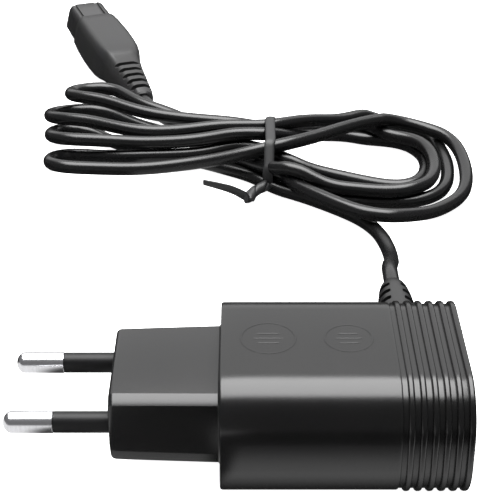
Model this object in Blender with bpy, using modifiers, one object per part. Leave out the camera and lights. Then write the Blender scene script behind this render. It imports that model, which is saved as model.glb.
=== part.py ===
"""Plug-in charger for a cordless hair clipper: two-pin mains adapter, lead in a tied hank, two-pole connector.

World frame: metres, +Z up, adapter lying on its broad side at z = 0, pins towards -X, lead leaving towards +Y.
"""

import math

import bmesh
import bpy
from mathutils import Matrix, Vector

MM = 0.001

# Driving dimensions, in millimetres.
GAP = 0.3  # clearance that touching pieces keep

BODY_FRONT = -2.6
BODY_END = 41.25
BODY_WIDTH = 38.6
BODY_HEIGHT = 23.2
BODY_RADIUS = 9.0
WALL = 2.0
RIB_COUNT = 6
RIB_PITCH = 2.07
RIB_WIDTH = 1.15
RIB_PROUD = 0.25
GROOVE_DEPTH = 0.3
BODY_Z = BODY_HEIGHT / 2 + RIB_PROUD  # the ribs stand on the ground

BLOCK_FACE = -22.25
BLOCK_WIDTH = 24.4
BLOCK_HEIGHT = 13.8
BLOCK_RADIUS = 1.8
BLOCK_TAPER = 1.045
BLOCK_WALL = 2.3
FLANGE_DEPTH = 2.4
PIN_Z = BODY_Z + 0.3

PIN_RADIUS = 2.0
PIN_CORE_RADIUS = 1.2
PIN_SPACING = 18.6
PIN_LENGTH = 19.0
PIN_METAL = 9.0
PIN_TAIL_X = -16.0
SLEEVE_RADIUS = 1.95

BOARD_THICKNESS = 1.2
BOARD_TOP = 7.2
BOARD_X = (1.5, 38.2)
BOARD_WIDTH = 30.0
SEAT_Z = BOARD_TOP + GAP

PAD_FACE_Y = BODY_WIDTH / 2 + 0.2  # just inside the crests of the ribs
GLAND_X = 32.4
GLAND_RADIUS = 3.0
RELIEF_END = 40.3
CORD_DIAMETER = 3.4
CORD_REST_Z = CORD_DIAMETER / 2 + 0.05

HANK_BOTTOM = 1.3
HANK_TOP = 13.6
TIE_X = 8.2
TIE_WIDTH = 1.8
TIE_THICKNESS = 0.9

CONNECTOR_TAIL = (-27.1, 153.0)
CONNECTOR_TURN = math.radians(19.2)
NOSE_START = 50.6
NOSE_END = 63.0
GRIP_Z = 5.3

# Routes of the lead, in millimetres: from the strain relief to the hank, and from the hank to the connector.
LEAD_ROUTE = [
    (32.4, 40.6, 11.85),
    (32.4, 44.0, 11.6),
    (32.9, 49.0, 9.9),
    (34.1, 56.0, 6.4),
    (34.9, 63.5, 3.4),
    (34.9, 70.5, 1.9),
    (33.9, 76.0, CORD_REST_Z),
    (32.2, 80.9, CORD_REST_Z),
]
END_ROUTE = [
    (-22.6, 144.2, 2.7),
    (-23.7, 146.6, 2.9),
    (-25.3, 149.8, 3.3),
    (-26.9, 152.6, 3.6),
]

# Outline of the hank seen from above, anticlockwise from the waist where the tie holds it.
HANK_OUTLINE = [
    (4.5, 103.6),
    (12.0, 103.2),
    (22.0, 91.0),
    (33.0, 82.6),
    (46.0, 82.0),
    (56.5, 93.0),
    (60.2, 108.0),
    (57.0, 122.0),
    (47.0, 132.0),
    (32.0, 135.0),
    (19.0, 131.0),
    (12.0, 120.8),
    (4.5, 120.8),
    (-8.0, 131.0),
    (-22.0, 141.5),
    (-38.0, 148.0),
    (-49.0, 145.0),
    (-52.6, 133.0),
    (-52.0, 118.0),
    (-45.0, 108.5),
    (-30.0, 105.0),
    (-10.0, 106.0),
]


def clear_scene():
    for old in list(bpy.data.objects):
        bpy.data.objects.remove(old, do_unlink=True)


def new_collection(name):
    collection = bpy.data.collections.new(name)
    bpy.context.scene.collection.children.link(collection)
    return collection


def make_material(name, colour, roughness, metallic=0.0):
    material = bpy.data.materials.new(name)
    material.use_nodes = True
    shader = material.node_tree.nodes["Principled BSDF"]
    shader.inputs["Base Color"].default_value = (*colour, 1.0)
    shader.inputs["Roughness"].default_value = roughness
    shader.inputs["Metallic"].default_value = metallic
    return material


def add_object(name, data, material):
    """Link new data to the charger's collection under its node name."""
    obj = bpy.data.objects.new(name, data)
    PARTS.objects.link(obj)
    data.materials.append(MATERIALS[material])
    return obj


def finish_mesh(name, bm):
    """Write a bmesh that was built in millimetres to a mesh in metres."""
    bmesh.ops.scale(bm, vec=(MM, MM, MM), verts=bm.verts)
    mesh = bpy.data.meshes.new(name)
    bm.to_mesh(mesh)
    bm.free()
    mesh.shade_smooth()
    mesh.set_sharp_from_angle(angle=math.radians(35))
    return mesh


def box_bmesh(size, centre):
    bm = bmesh.new()
    bmesh.ops.create_cube(bm, size=1.0)
    bmesh.ops.scale(bm, vec=size, verts=bm.verts)
    bmesh.ops.translate(bm, vec=centre, verts=bm.verts)
    return bm


def bevel_edges(bm, edges, radius, segments):
    bmesh.ops.bevel(bm, geom=edges, offset=radius, segments=segments, profile=0.5, affect="EDGES")


def make_box(name, size, centre, material, radius=0.0, segments=2):
    bm = box_bmesh(size, centre)
    if radius:
        bevel_edges(bm, list(bm.edges), radius, segments)
    return add_object(name, finish_mesh(name, bm), material)


def edge_runs_along_x(edge):
    return abs((edge.verts[0].co - edge.verts[1].co).normalized().x) > 0.99


def make_bar(name, span, width, height, radius, material, centre_z=BODY_Z, centre_y=0.0, segments=7):
    """A bar along X with four rounded long edges."""
    length = span[1] - span[0]
    bm = box_bmesh((length, width, height), ((span[0] + span[1]) / 2, centre_y, centre_z))
    bevel_edges(bm, [edge for edge in bm.edges if edge_runs_along_x(edge)], radius, segments)
    return add_object(name, finish_mesh(name, bm), material)


def round_rims(obj, width, segments=2):
    """Round the edges that are sharper than a long edge's own facets."""
    bevel = obj.modifiers.new("rims", "BEVEL")
    bevel.width = width * MM
    bevel.segments = segments
    bevel.limit_method = "ANGLE"
    bevel.angle_limit = math.radians(50)


def make_rod(name, radius, start, end, material, segments=20):
    """A plain cylinder between two points."""
    start = Vector(start)
    axis = Vector(end) - start
    bm = bmesh.new()
    bmesh.ops.create_cone(bm, cap_ends=True, segments=segments, radius1=radius, radius2=radius, depth=axis.length)
    turn = Vector((0, 0, 1)).rotation_difference(axis).to_matrix().to_4x4()
    bmesh.ops.transform(bm, matrix=Matrix.Translation(start + axis / 2) @ turn, verts=bm.verts)
    return add_object(name, finish_mesh(name, bm), material)


def make_turned(name, profile, material, steps=24):
    """Turn a profile of (radius, height) points, top to bottom, about the object's Z axis."""
    mesh = bpy.data.meshes.new(name)
    points = [(radius * MM, 0, height * MM) for radius, height in profile]
    mesh.from_pydata(points, [(i, i + 1) for i in range(len(points) - 1)], [])
    obj = add_object(name, mesh, material)
    screw = obj.modifiers.new("turn", "SCREW")
    screw.steps = steps
    screw.render_steps = steps
    screw.use_merge_vertices = True
    screw.merge_threshold = 0.00001
    return obj


def make_tube(name, points, diameter, material):
    """A round lead through points in millimetres, with closed ends."""
    curve = bpy.data.curves.new(name, "CURVE")
    curve.dimensions = "3D"
    curve.bevel_depth = diameter / 2 * MM
    curve.bevel_resolution = 2
    curve.use_fill_caps = True
    spline = curve.splines.new("POLY")
    spline.points.add(len(points) - 1)
    for target, point in zip(spline.points, points):
        target.co = (*(Vector(point) * MM), 1.0)
    return add_object(name, curve, material)


def smooth_route(route, step):
    """Points about `step` apart on the smooth curve through a route."""
    knots = [Vector(p) for p in route]
    knots = [2 * knots[0] - knots[1]] + knots + [2 * knots[-1] - knots[-2]]
    points = []
    for i in range(1, len(knots) - 2):
        a, b, c, d = knots[i - 1 : i + 3]
        pieces = max(1, round((c - b).length / step))
        for k in range(pieces):
            t = k / pieces
            bend = 2 * a - 5 * b + 4 * c - d
            twist = 3 * b - a - 3 * c + d
            points.append(b + 0.5 * t * (c - a) + 0.5 * t * t * bend + 0.5 * t**3 * twist)
    return points + [knots[-2]]


def combine(obj, other, operation):
    """Join or cut with another object, which becomes a guide that the build leaves out."""
    step = obj.modifiers.new(operation.lower(), "BOOLEAN")
    step.operation = operation
    step.solver = "EXACT"
    step.object = other
    other.display_type = "WIRE"
    other.hide_render = True
    for collection in list(other.users_collection):
        collection.objects.unlink(other)
    CUTTERS.objects.link(other)


def cut(obj, cutter):
    combine(obj, cutter, "DIFFERENCE")


def join(obj, other):
    combine(obj, other, "UNION")


def rounded_ring(half_width, half_height, radius, corner_points=4):
    """Corner-rounded rectangle as (across, up) points, anticlockwise."""
    ring = []
    for corner in range(4):
        sign_x = 1 if corner in (0, 3) else -1
        sign_y = 1 if corner < 2 else -1
        for k in range(corner_points):
            angle = math.pi / 2 * (corner + k / (corner_points - 1))
            across = sign_x * (half_width - radius) + radius * math.cos(angle)
            ring.append((across, sign_y * (half_height - radius) + radius * math.sin(angle)))
    return ring


def make_loft(name, stations, material):
    """Skin between rounded rectangles along local +Y; a station is (y, width, height, radius, z)."""
    bm = bmesh.new()
    rings = []
    for along, width, height, radius, centre_z in stations:
        outline = rounded_ring(width / 2, height / 2, radius)
        rings.append([bm.verts.new((across, along, centre_z + up)) for across, up in outline])
    count = len(rings[0])
    for lower, upper in zip(rings, rings[1:]):
        for i in range(count):
            j = (i + 1) % count
            bm.faces.new((lower[i], upper[i], upper[j], lower[j]))
    bm.faces.new(rings[0])
    bm.faces.new(list(reversed(rings[-1])))
    bmesh.ops.recalc_face_normals(bm, faces=bm.faces)
    return add_object(name, finish_mesh(name, bm), material)


# ---------------------------------------------------------------- adapter casing


def rib_start(index):
    return BODY_END - RIB_WIDTH - (RIB_COUNT - 1 - index) * RIB_PITCH


def make_main_housing():
    """Deep casing: plain front part, six grip ribs and a closed end."""
    plain_end = rib_start(0) - (RIB_PITCH - RIB_WIDTH)
    housing = make_bar("main_housing", (BODY_FRONT, plain_end), BODY_WIDTH, BODY_HEIGHT, BODY_RADIUS, "casing")
    inset = 2 * GROOVE_DEPTH
    core_span = (plain_end - 1.0, BODY_END - RIB_WIDTH / 2)
    core = make_bar(
        "rib_core", core_span, BODY_WIDTH - inset, BODY_HEIGHT - inset, BODY_RADIUS - GROOVE_DEPTH, "casing"
    )
    join(housing, core)
    for index in range(RIB_COUNT):
        start = rib_start(index)
        proud = 2 * RIB_PROUD
        rib = make_bar(
            f"rib_{index + 1}",
            (start, start + RIB_WIDTH),
            BODY_WIDTH + proud,
            BODY_HEIGHT + proud,
            BODY_RADIUS + RIB_PROUD,
            "casing",
        )
        round_rims(rib, 0.3, 1)
        join(housing, rib)
    add_gland_pad(housing)
    hollow_out(housing)
    add_board_rails(housing)
    return housing


def add_gland_pad(housing):
    """Flat pad in the back wall that the lead's strain relief stands on."""
    pad_back = PAD_FACE_Y
    pad = make_box("gland_pad", (9.6, 2.0, 9.6), (GLAND_X, pad_back - 1.0, BODY_Z), "casing", 0.4)
    join(housing, pad)


def hollow_out(housing):
    cavity = make_bar(
        "housing_cavity",
        (BODY_FRONT - 1.0, BODY_END - WALL),
        BODY_WIDTH - 2 * WALL,
        BODY_HEIGHT - 2 * WALL,
        BODY_RADIUS - WALL,
        "casing",
    )
    cut(housing, cavity)
    gland = make_rod(
        "gland_hole", GLAND_RADIUS, (GLAND_X, 15.0, BODY_Z), (GLAND_X, 22.0, BODY_Z), "casing"
    )
    cut(housing, gland)


def add_board_rails(housing):
    """Two ledges that the circuit board slides onto."""
    top = BOARD_TOP - BOARD_THICKNESS - GAP
    bottom = 2.9
    for side in (-1, 1):
        rail = make_box(
            f"board_rail_{side}",
            (36.0, 1.6, top - bottom),
            (20.0, side * 14.1, (top + bottom) / 2),
            "casing",
        )
        join(housing, rail)


def make_plug_front():
    """Front closure: the block that carries the pins, and the flange that shuts the casing's mouth."""
    block = make_bar(
        "plug_front",
        (BLOCK_FACE, BODY_FRONT + 1.0),
        BLOCK_WIDTH,
        BLOCK_HEIGHT,
        BLOCK_RADIUS,
        "plug_block",
        centre_z=PIN_Z,
        segments=3,
    )
    widen_block_root(block)
    round_rims(block, 0.5)
    flange = make_bar(
        "flange",
        (BODY_FRONT, BODY_FRONT + FLANGE_DEPTH),
        BODY_WIDTH - 2 * (WALL + GAP),
        BODY_HEIGHT - 2 * (WALL + GAP),
        BODY_RADIUS - WALL - GAP,
        "plug_block",
    )
    join(block, flange)
    hollow = make_box(
        "block_cavity",
        (BODY_FRONT + FLANGE_DEPTH + 1.0 - BLOCK_FACE - BLOCK_WALL, BLOCK_WIDTH - 2.6, BLOCK_HEIGHT - 3.6),
        ((BODY_FRONT + FLANGE_DEPTH + 1.0 + BLOCK_FACE + BLOCK_WALL) / 2, 0.0, PIN_Z),
        "plug_block",
    )
    cut(block, hollow)
    for side in (-1, 1):
        y = side * PIN_SPACING / 2
        bore = make_rod(
            f"pin_bore_{side}",
            SLEEVE_RADIUS + GAP,
            (BLOCK_FACE - 1.0, y, PIN_Z),
            (BLOCK_FACE + BLOCK_WALL + 1.0, y, PIN_Z),
            "plug_block",
        )
        cut(block, bore)
    return block


def widen_block_root(block):
    """Draft angle: the block grows a little from its face to its root."""
    root_x = (BODY_FRONT + 1.0) * MM - 0.0001
    for vertex in block.data.vertices:
        if vertex.co.x > root_x:
            vertex.co.y *= BLOCK_TAPER
            vertex.co.z = (PIN_Z * MM) + (vertex.co.z - PIN_Z * MM) * BLOCK_TAPER


# ---------------------------------------------------------------- mains pins


def pin_profile():
    """Rounded tip, bare metal, then the thinner shank inside the sleeve."""
    tip = [
        (PIN_RADIUS * math.sin(a), -PIN_RADIUS * 0.8 * (1 - math.cos(a)))
        for a in (math.pi / 2 * k / 5 for k in range(6))
    ]
    tail = -(PIN_TAIL_X - (BLOCK_FACE - PIN_LENGTH))
    return tip + [
        (PIN_RADIUS, -PIN_METAL),
        (PIN_CORE_RADIUS, -PIN_METAL),
        (PIN_CORE_RADIUS, tail),
        (0.0, tail),
    ]


def make_pin(name, side):
    pin = make_turned(name, pin_profile(), "pin_metal")
    pin.location = Vector((BLOCK_FACE - PIN_LENGTH, side * PIN_SPACING / 2, PIN_Z)) * MM
    pin.rotation_euler = (0, -math.pi / 2, 0)
    return pin


def make_pin_sleeve(name, side):
    """Insulating tube over the root half of a pin, let into its hole in the block."""
    inner = PIN_CORE_RADIUS + GAP
    length = PIN_LENGTH - PIN_METAL - GAP + BLOCK_WALL
    profile = [
        (inner, 0.0),
        (SLEEVE_RADIUS, 0.0),
        (SLEEVE_RADIUS, -length),
        (inner, -length),
        (inner, 0.0),
    ]
    sleeve = make_turned(name, profile, "pin_sleeve")
    start = BLOCK_FACE - PIN_LENGTH + PIN_METAL + GAP
    sleeve.location = Vector((start, side * PIN_SPACING / 2, PIN_Z)) * MM
    sleeve.rotation_euler = (0, -math.pi / 2, 0)
    return sleeve


def make_pins():
    for name, side in (("front", -1), ("rear", 1)):
        make_pin(f"pin_{name}", side)
        make_pin_sleeve(f"pin_sleeve_{name}", side)


# ---------------------------------------------------------------- inside the casing


def make_circuit_board():
    length = BOARD_X[1] - BOARD_X[0]
    centre = (sum(BOARD_X) / 2, 0.0, BOARD_TOP - BOARD_THICKNESS / 2)
    return make_box("circuit_board", (length, BOARD_WIDTH, BOARD_THICKNESS), centre, "board")


def make_mains_wires():
    """One insulated wire from each pin's tail down to the board."""
    for name, side in (("front", -1), ("rear", 1)):
        y = side * PIN_SPACING / 2
        route = [
            (PIN_TAIL_X + GAP, y, PIN_Z),
            (-11.0, y, PIN_Z - 0.4),
            (-5.0, y * 0.97, PIN_Z - 2.2),
            (1.0, y * 0.95, PIN_Z - 2.9),
            (3.2, y * 0.95, SEAT_Z + 0.2),
        ]
        make_tube(f"mains_wire_{name}", smooth_route(route, 2.5), 1.5, "wire_blue")


def make_can(name, x, y, radius, height):
    """Electrolytic capacitor standing on the board, with a shallow ring groove near its foot."""
    profile = [
        (0.0, height),
        (radius - 0.5, height),
        (radius, height - 0.5),
        (radius, 2.2),
        (radius - 0.35, 1.8),
        (radius, 1.4),
        (radius, 0.3),
        (radius - 0.3, 0.0),
        (0.0, 0.0),
    ]
    can = make_turned(name, profile, "capacitor_sleeve", 20)
    can.location = Vector((x, y, SEAT_Z)) * MM
    return can


def make_transformer():
    """Ferrite frame round a bobbin that lies across the casing, with its winding."""
    x = 20.0
    z = SEAT_Z + 6.2
    core = make_box("transformer_core", (5.0, 17.0, 12.2), (x, 0.0, z), "ferrite", 0.3, 1)
    window = make_box("core_window", (7.0, 12.4, 8.0), (x, 0.0, z), "ferrite")
    cut(core, window)
    bobbin = make_box("transformer_bobbin", (3.4, 11.4, 2.6), (x, 0.0, z), "bobbin")
    for side in (-1, 1):
        flange = make_box(f"bobbin_flange_{side}", (13.4, 1.0, 7.2), (x, side * 5.3, z), "bobbin")
        join(bobbin, flange)
    winding = make_box("transformer_winding", (12.4, 9.0, 6.8), (x, 0.0, z), "winding_tape", 1.2)
    barrel = make_box("winding_hole", (4.0, 12.0, 3.2), (x, 0.0, z), "winding_tape")
    cut(winding, barrel)


def make_small_components():
    make_can("input_capacitor_1", 7.6, -4.5, 4.0, 11.0)
    make_can("input_capacitor_2", 7.6, 4.5, 4.0, 11.0)
    make_can("output_capacitor", 32.6, 0.5, 4.0, 11.0)
    low = SEAT_Z
    make_box("bridge_rectifier", (4.6, 3.9, 2.4), (15.0, 12.0, low + 1.2), "chip_epoxy", 0.2, 1)
    make_box("controller_chip", (5.0, 3.9, 1.6), (20.6, 12.0, low + 0.8), "chip_epoxy", 0.2, 1)
    make_box("optocoupler", (4.6, 6.4, 3.4), (28.0, -10.6, low + 1.7), "chip_epoxy", 0.2, 1)
    make_rod("fusible_resistor", 1.3, (9.0, -12.0, low + 1.5), (16.0, -12.0, low + 1.5), "resistor_body")
    make_rod("snubber_resistor", 0.9, (9.0, 12.6, low + 1.1), (12.0, 12.6, low + 1.1), "resistor_body", 16)
    make_rod("y_capacitor", 3.2, (19.0, -12.0, low + 3.3), (21.2, -12.0, low + 3.3), "ceramic_blue")
    make_rod("output_diode", 1.4, (32.4, -6.4, low + 1.6), (37.2, -6.4, low + 1.6), "chip_epoxy")
    make_inductor()


def make_inductor():
    """Drum core with a waist where its wire is wound."""
    profile = [
        (0.0, 6.0),
        (2.4, 6.0),
        (2.4, 5.1),
        (1.9, 4.9),
        (1.9, 1.1),
        (2.4, 0.9),
        (2.4, 0.0),
        (0.0, 0.0),
    ]
    inductor = make_turned("filter_inductor", profile, "ferrite", 18)
    inductor.location = Vector((26.4, 10.8, SEAT_Z)) * MM


def make_output_wires():
    """Pair that joins the board to the lead just inside the gland."""
    for name, offset in (("positive", -1.0), ("negative", 1.0)):
        route = [
            (GLAND_X + 2.2 * offset, 9.4, SEAT_Z + 0.2),
            (GLAND_X + 2.1 * offset, 9.8, SEAT_Z + 2.6),
            (GLAND_X + 1.6 * offset, 11.4, BODY_Z - 0.5),
            (GLAND_X + offset, 14.8, BODY_Z),
        ]
        make_tube(f"output_wire_{name}", smooth_route(route, 1.6), 1.2, "wire_black")


# ---------------------------------------------------------------- lead


def make_strain_relief():
    """Moulded boot: a head behind the wall, a neck in the hole, and a tapered, slotted tail."""
    wall_inside = BODY_WIDTH / 2 - WALL - GAP
    pad_face = PAD_FACE_Y + GAP
    profile = [
        (0.0, RELIEF_END),
        (1.9, RELIEF_END),
        (2.1, RELIEF_END - 0.4),
        (3.3, 32.0),
        (4.0, pad_face + 1.6),
        (4.3, pad_face + 1.2),
        (4.3, pad_face),
        (GLAND_RADIUS - GAP, pad_face),
        (GLAND_RADIUS - GAP, wall_inside),
        (4.0, wall_inside),
        (4.0, wall_inside - 1.4),
        (0.0, wall_inside - 1.4),
    ]
    relief = make_turned("strain_relief", profile, "cord_pvc")
    relief.location = Vector((GLAND_X, 0.0, BODY_Z)) * MM
    relief.rotation_euler = (-math.pi / 2, 0, 0)
    for row in range(5):
        y = 24.2 + 3.0 * row
        for side in (-1, 1):
            slot = make_box(
                f"relief_slot_{row}_{side}",
                (4.0, 1.1, 9.0),
                (GLAND_X + side * (3.4 - 0.1 * row), y, BODY_Z),
                "cord_pvc",
            )
            cut(relief, slot)
    return relief


def make_hank():
    """Outer shape of the tied turns of lead."""
    curve = bpy.data.curves.new("cord_hank", "CURVE")
    curve.dimensions = "2D"
    curve.fill_mode = "BOTH"
    curve.extrude = (HANK_TOP - HANK_BOTTOM) / 2 * MM
    curve.resolution_u = 3
    spline = curve.splines.new("BEZIER")
    spline.use_cyclic_u = True
    spline.bezier_points.add(len(HANK_OUTLINE) - 1)
    for target, (x, y) in zip(spline.bezier_points, HANK_OUTLINE):
        target.co = (x * MM, y * MM, 0)
        target.handle_left_type = "AUTO"
        target.handle_right_type = "AUTO"
    hank = add_object("cord_hank", curve, "cord_pvc")
    hank.location.z = (HANK_TOP + HANK_BOTTOM) / 2 * MM
    return hank


def make_cord():
    make_tube("cord_lead", smooth_route(LEAD_ROUTE, 7.0), CORD_DIAMETER, "cord_pvc")
    make_hank()
    make_tube("cord_end", smooth_route(END_ROUTE, 4.0), CORD_DIAMETER, "cord_pvc")


def make_twist_tie():
    """Flat coated wire round the waist of the hank, with its twisted ends in front."""
    span = (TIE_X - TIE_WIDTH / 2, TIE_X + TIE_WIDTH / 2)
    y = 112.0
    width = 20.0
    z = (HANK_TOP + HANK_BOTTOM) / 2
    height = HANK_TOP - HANK_BOTTOM + 2 * GAP
    thick = 2 * TIE_THICKNESS
    tie = make_bar(
        "twist_tie", span, width + thick, height + thick, 3.0, "tie_coating", centre_z=z, centre_y=y, segments=4
    )
    wider = (span[0] - 1.0, span[1] + 1.0)
    opening = make_bar("tie_opening", wider, width, height, 2.0, "tie_coating", centre_z=z, centre_y=y, segments=4)
    cut(tie, opening)
    knot = make_box("tie_knot", (4.2, 3.0, 4.6), (7.2, 100.3, 2.7), "tie_coating", 0.8, 1)
    join(tie, knot)
    tail = make_box("tie_tail", (14.0, 1.0, 1.6), (-0.8, 100.2, 2.0), "tie_coating", 0.2, 1)
    join(tie, tail)
    return tie


# ---------------------------------------------------------------- connector


def place_connector(obj):
    obj.location = Vector((*CONNECTOR_TAIL, 0.0)) * MM
    obj.rotation_euler = (0, 0, CONNECTOR_TURN)
    return obj


def make_connector_grip():
    """Overmoulded grip with its slotted tail; the tail drops to where the lead lies."""
    stations = [
        (0.0, 7.6, 6.2, 2.6, 3.6),
        (9.0, 9.6, 7.4, 2.8, 4.2),
        (18.0, 11.8, 8.6, 3.0, 4.9),
        (20.0, 12.6, 9.2, 3.0, GRIP_Z),
        (25.0, 14.8, 10.2, 3.0, GRIP_Z),
        (36.0, 15.4, 10.4, 3.0, GRIP_Z),
        (46.0, 14.8, 10.0, 2.8, GRIP_Z),
        (NOSE_START - GAP, 14.0, 9.6, 2.6, GRIP_Z),
    ]
    grip = place_connector(make_loft("connector_grip", stations, "connector_pvc"))
    for row in range(5):
        for side in (-1, 1):
            slot = make_box(
                f"grip_slot_{row}_{side}",
                (3.2, 1.2, 12.0),
                (side * (4.7 + 0.35 * row), 3.0 + 3.2 * row, 4.5),
                "connector_pvc",
            )
            cut(grip, place_connector(slot))
    return grip


def make_connector_nose():
    """Hard nose that goes into the clipper, with an oblong socket in its end."""
    stations = [
        (NOSE_START, 12.4, 8.4, 2.4, GRIP_Z),
        (NOSE_END - 0.6, 12.0, 8.2, 2.4, GRIP_Z),
        (NOSE_END, 11.0, 7.2, 2.0, GRIP_Z),
    ]
    nose = place_connector(make_loft("connector_nose", stations, "connector_pvc"))
    depth = 8.0
    socket = make_box(
        "nose_socket", (9.0, depth + 1.0, 4.8), (0.0, NOSE_END + 0.5 - depth / 2, GRIP_Z), "connector_pvc"
    )
    cut(nose, place_connector(socket))
    return nose


def make_connector_insides():
    """Contact carrier at the bottom of the socket, and the two spring contacts that stand in it."""
    carrier = make_box(
        "contact_carrier", (8.4, 1.6, 4.2), (0.0, NOSE_END - 8.0 + GAP + 0.8, GRIP_Z), "connector_pvc"
    )
    place_connector(carrier)
    for name, side in (("left", -1), ("right", 1)):
        start = NOSE_END - 8.0 + 2 * GAP + 1.6
        contact = make_rod(
            f"contact_{name}",
            1.1,
            (side * 2.3, start, GRIP_Z),
            (side * 2.3, NOSE_END - 1.2, GRIP_Z),
            "contact_brass",
            16,
        )
        bore = make_rod(
            f"contact_bore_{name}",
            0.7,
            (side * 2.3, start + 1.2, GRIP_Z),
            (side * 2.3, NOSE_END, GRIP_Z),
            "contact_brass",
            16,
        )
        place_connector(contact)
        cut(contact, place_connector(bore))


clear_scene()
PARTS = new_collection("charger")
CUTTERS = new_collection("cutters")
MATERIALS = {
    "casing": make_material("casing", (0.030, 0.030, 0.031), 0.28),
    "plug_block": make_material("plug_block", (0.028, 0.028, 0.029), 0.32),
    "pin_metal": make_material("pin_metal", (0.78, 0.78, 0.80), 0.16, 1.0),
    "pin_sleeve": make_material("pin_sleeve", (0.020, 0.020, 0.021), 0.40),
    "board": make_material("board", (0.22, 0.16, 0.06), 0.60),
    "capacitor_sleeve": make_material("capacitor_sleeve", (0.03, 0.04, 0.10), 0.35),
    "ferrite": make_material("ferrite", (0.05, 0.05, 0.055), 0.70),
    "bobbin": make_material("bobbin", (0.04, 0.04, 0.04), 0.50),
    "winding_tape": make_material("winding_tape", (0.75, 0.55, 0.06), 0.40),
    "chip_epoxy": make_material("chip_epoxy", (0.02, 0.02, 0.02), 0.50),
    "resistor_body": make_material("resistor_body", (0.25, 0.35, 0.40), 0.50),
    "ceramic_blue": make_material("ceramic_blue", (0.05, 0.15, 0.45), 0.40),
    "wire_blue": make_material("wire_blue", (0.03, 0.08, 0.30), 0.45),
    "wire_black": make_material("wire_black", (0.02, 0.02, 0.02), 0.45),
    "cord_pvc": make_material("cord_pvc", (0.026, 0.026, 0.027), 0.38),
    "tie_coating": make_material("tie_coating", (0.045, 0.045, 0.047), 0.45),
    "connector_pvc": make_material("connector_pvc", (0.050, 0.050, 0.051), 0.50),
    "contact_brass": make_material("contact_brass", (0.80, 0.62, 0.30), 0.28, 1.0),
}

make_main_housing()
make_plug_front()
make_pins()
make_circuit_board()
make_mains_wires()
make_transformer()
make_small_components()
make_output_wires()
make_strain_relief()
make_cord()
make_twist_tie()
make_connector_grip()
make_connector_nose()
make_connector_insides()
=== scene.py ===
import math

import bmesh
import bpy
import numpy as np
from mathutils import Matrix, Vector


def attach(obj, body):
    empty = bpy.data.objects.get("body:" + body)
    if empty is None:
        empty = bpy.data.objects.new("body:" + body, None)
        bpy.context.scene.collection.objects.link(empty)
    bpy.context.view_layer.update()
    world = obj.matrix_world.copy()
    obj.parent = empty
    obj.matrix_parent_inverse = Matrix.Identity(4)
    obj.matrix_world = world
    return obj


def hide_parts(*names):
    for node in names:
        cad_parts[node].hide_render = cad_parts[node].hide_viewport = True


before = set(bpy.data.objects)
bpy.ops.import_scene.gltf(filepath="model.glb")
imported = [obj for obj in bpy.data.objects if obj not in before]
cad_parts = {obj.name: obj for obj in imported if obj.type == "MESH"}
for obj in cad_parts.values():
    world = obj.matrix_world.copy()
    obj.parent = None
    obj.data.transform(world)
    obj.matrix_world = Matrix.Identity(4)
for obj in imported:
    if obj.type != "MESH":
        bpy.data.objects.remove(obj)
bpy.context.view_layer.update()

# ---------------------------------------------------------------- camera
# A long lens on a stand, a little above the charger and looking down at it along its depth,
# so that the casing's broad side and its front wall both show.
camera_data = bpy.data.cameras.new("studio_camera")
camera_data.sensor_fit = "VERTICAL"
camera_data.sensor_height = 36.0
camera_data.lens = 101.95
camera_data.clip_start = 0.01
camera = bpy.data.objects.new("studio_camera", camera_data)
camera.location = (0.0012, -0.2122, 0.16435)
camera.rotation_euler = (math.radians(60.05), 0, 0)
bpy.context.collection.objects.link(camera)
bpy.context.scene.camera = camera


# ---------------------------------------------------------------- lead
# Thin round two-core lead, soft black PVC with a satin skin. It leaves the casing's back wall, drops to the
# table, is folded to and fro into a tied hank of nine runs, and ends in the trimmer's connector.
MM = 0.001
LEAD_DIAMETER = 3.4
LEAD_REST = 1.75

LEAD_FIRST = [
    (32.4, 37.0, 11.85),
    (32.4, 40.6, 11.85),
    (32.4, 44.0, 11.6),
    (32.9, 49.0, 9.9),
    (34.1, 56.0, 6.4),
    (34.9, 63.5, 3.4),
    (34.9, 70.5, 1.9),
    (33.9, 76.0, 1.75),
    (32.2, 80.9, 1.75),
    (29.3, 85.2, 1.75),
    (24.0, 90.4, 1.75),
    (18.0, 95.0, 1.9),
    (13.0, 99.2, 2.3),
]
LEAD_LAST = [
    (2.0, 119.0, 3.4),
    (-6.0, 128.8, 2.0),
    (-12.5, 134.6, 2.0),
    (-18.2, 139.4, 2.3),
    (-22.6, 144.2, 2.7),
    (-23.7, 146.6, 2.9),
    (-25.3, 149.8, 3.3),
    (-26.9, 152.6, 3.6),
]

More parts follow.
